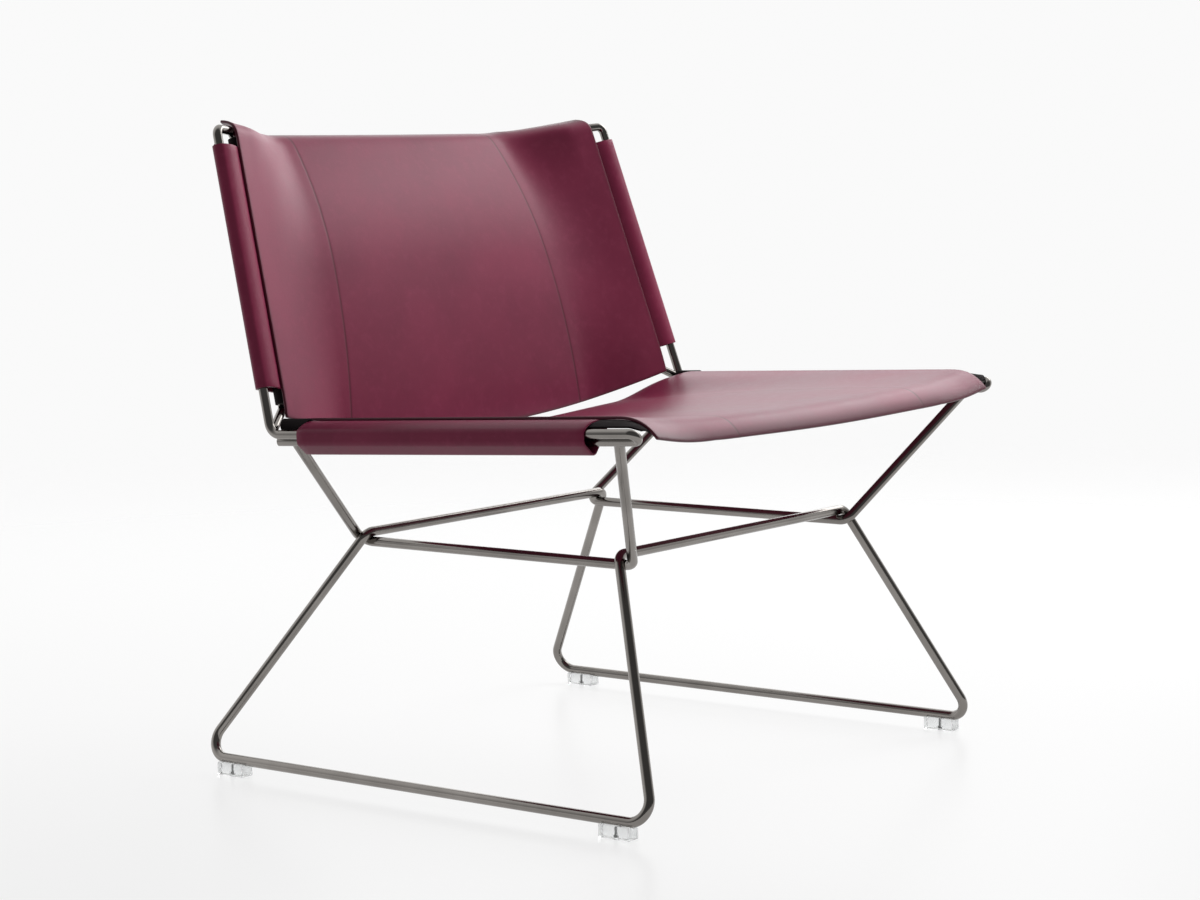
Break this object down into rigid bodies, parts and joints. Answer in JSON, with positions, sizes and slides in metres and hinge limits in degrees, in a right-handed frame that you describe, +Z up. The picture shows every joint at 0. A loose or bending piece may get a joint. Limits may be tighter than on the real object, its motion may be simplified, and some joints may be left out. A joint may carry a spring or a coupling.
{
  "type": "leather sling lounge chair",
  "caption": "Low armless lounge chair: a bent chrome rod frame on floor runners, with a leather seat and a leather back stretched between hairpin rods by sewn sleeves.",
  "frame": {"origin": "on the floor, under the middle of the chair's bounding box", "axes": "+Z up, the sitter faces -Y, +X to the sitter's left"},
  "size_m": [0.754, 0.637, 0.718],
  "materials": {
    "smoked_chrome": "polished dark smoked chrome",
    "burgundy_leather": "smooth saddle leather with dark cut edges",
    "clear_plastic": "clear",
    "dark_steel": "dark"
  },
  "bodies": {
    "root": {"base_frame_left": "smoked_chrome", "base_frame_right": "smoked_chrome", "side_link_left": "smoked_chrome", "side_link_right": "smoked_chrome", "back_hairpin_left": "smoked_chrome", "back_hairpin_right": "smoked_chrome", "seat_hairpin_left": "smoked_chrome", "seat_hairpin_right": "smoked_chrome", "back_panel": "burgundy_leather", "back_sleeve_left": "burgundy_leather", "back_sleeve_right": "burgundy_leather", "seat_panel": "burgundy_leather", "seat_sleeve_left": "burgundy_leather", "seat_sleeve_right": "burgundy_leather", "glide_front_left": "clear_plastic", "glide_front_right": "clear_plastic", "glide_rear_left": "clear_plastic", "glide_rear_right": "clear_plastic", "glide_screw_front_left": "dark_steel", "glide_screw_front_right": "dark_steel", "glide_screw_rear_left": "dark_steel", "glide_screw_rear_right": "dark_steel"}
  },
  "joints": []
}
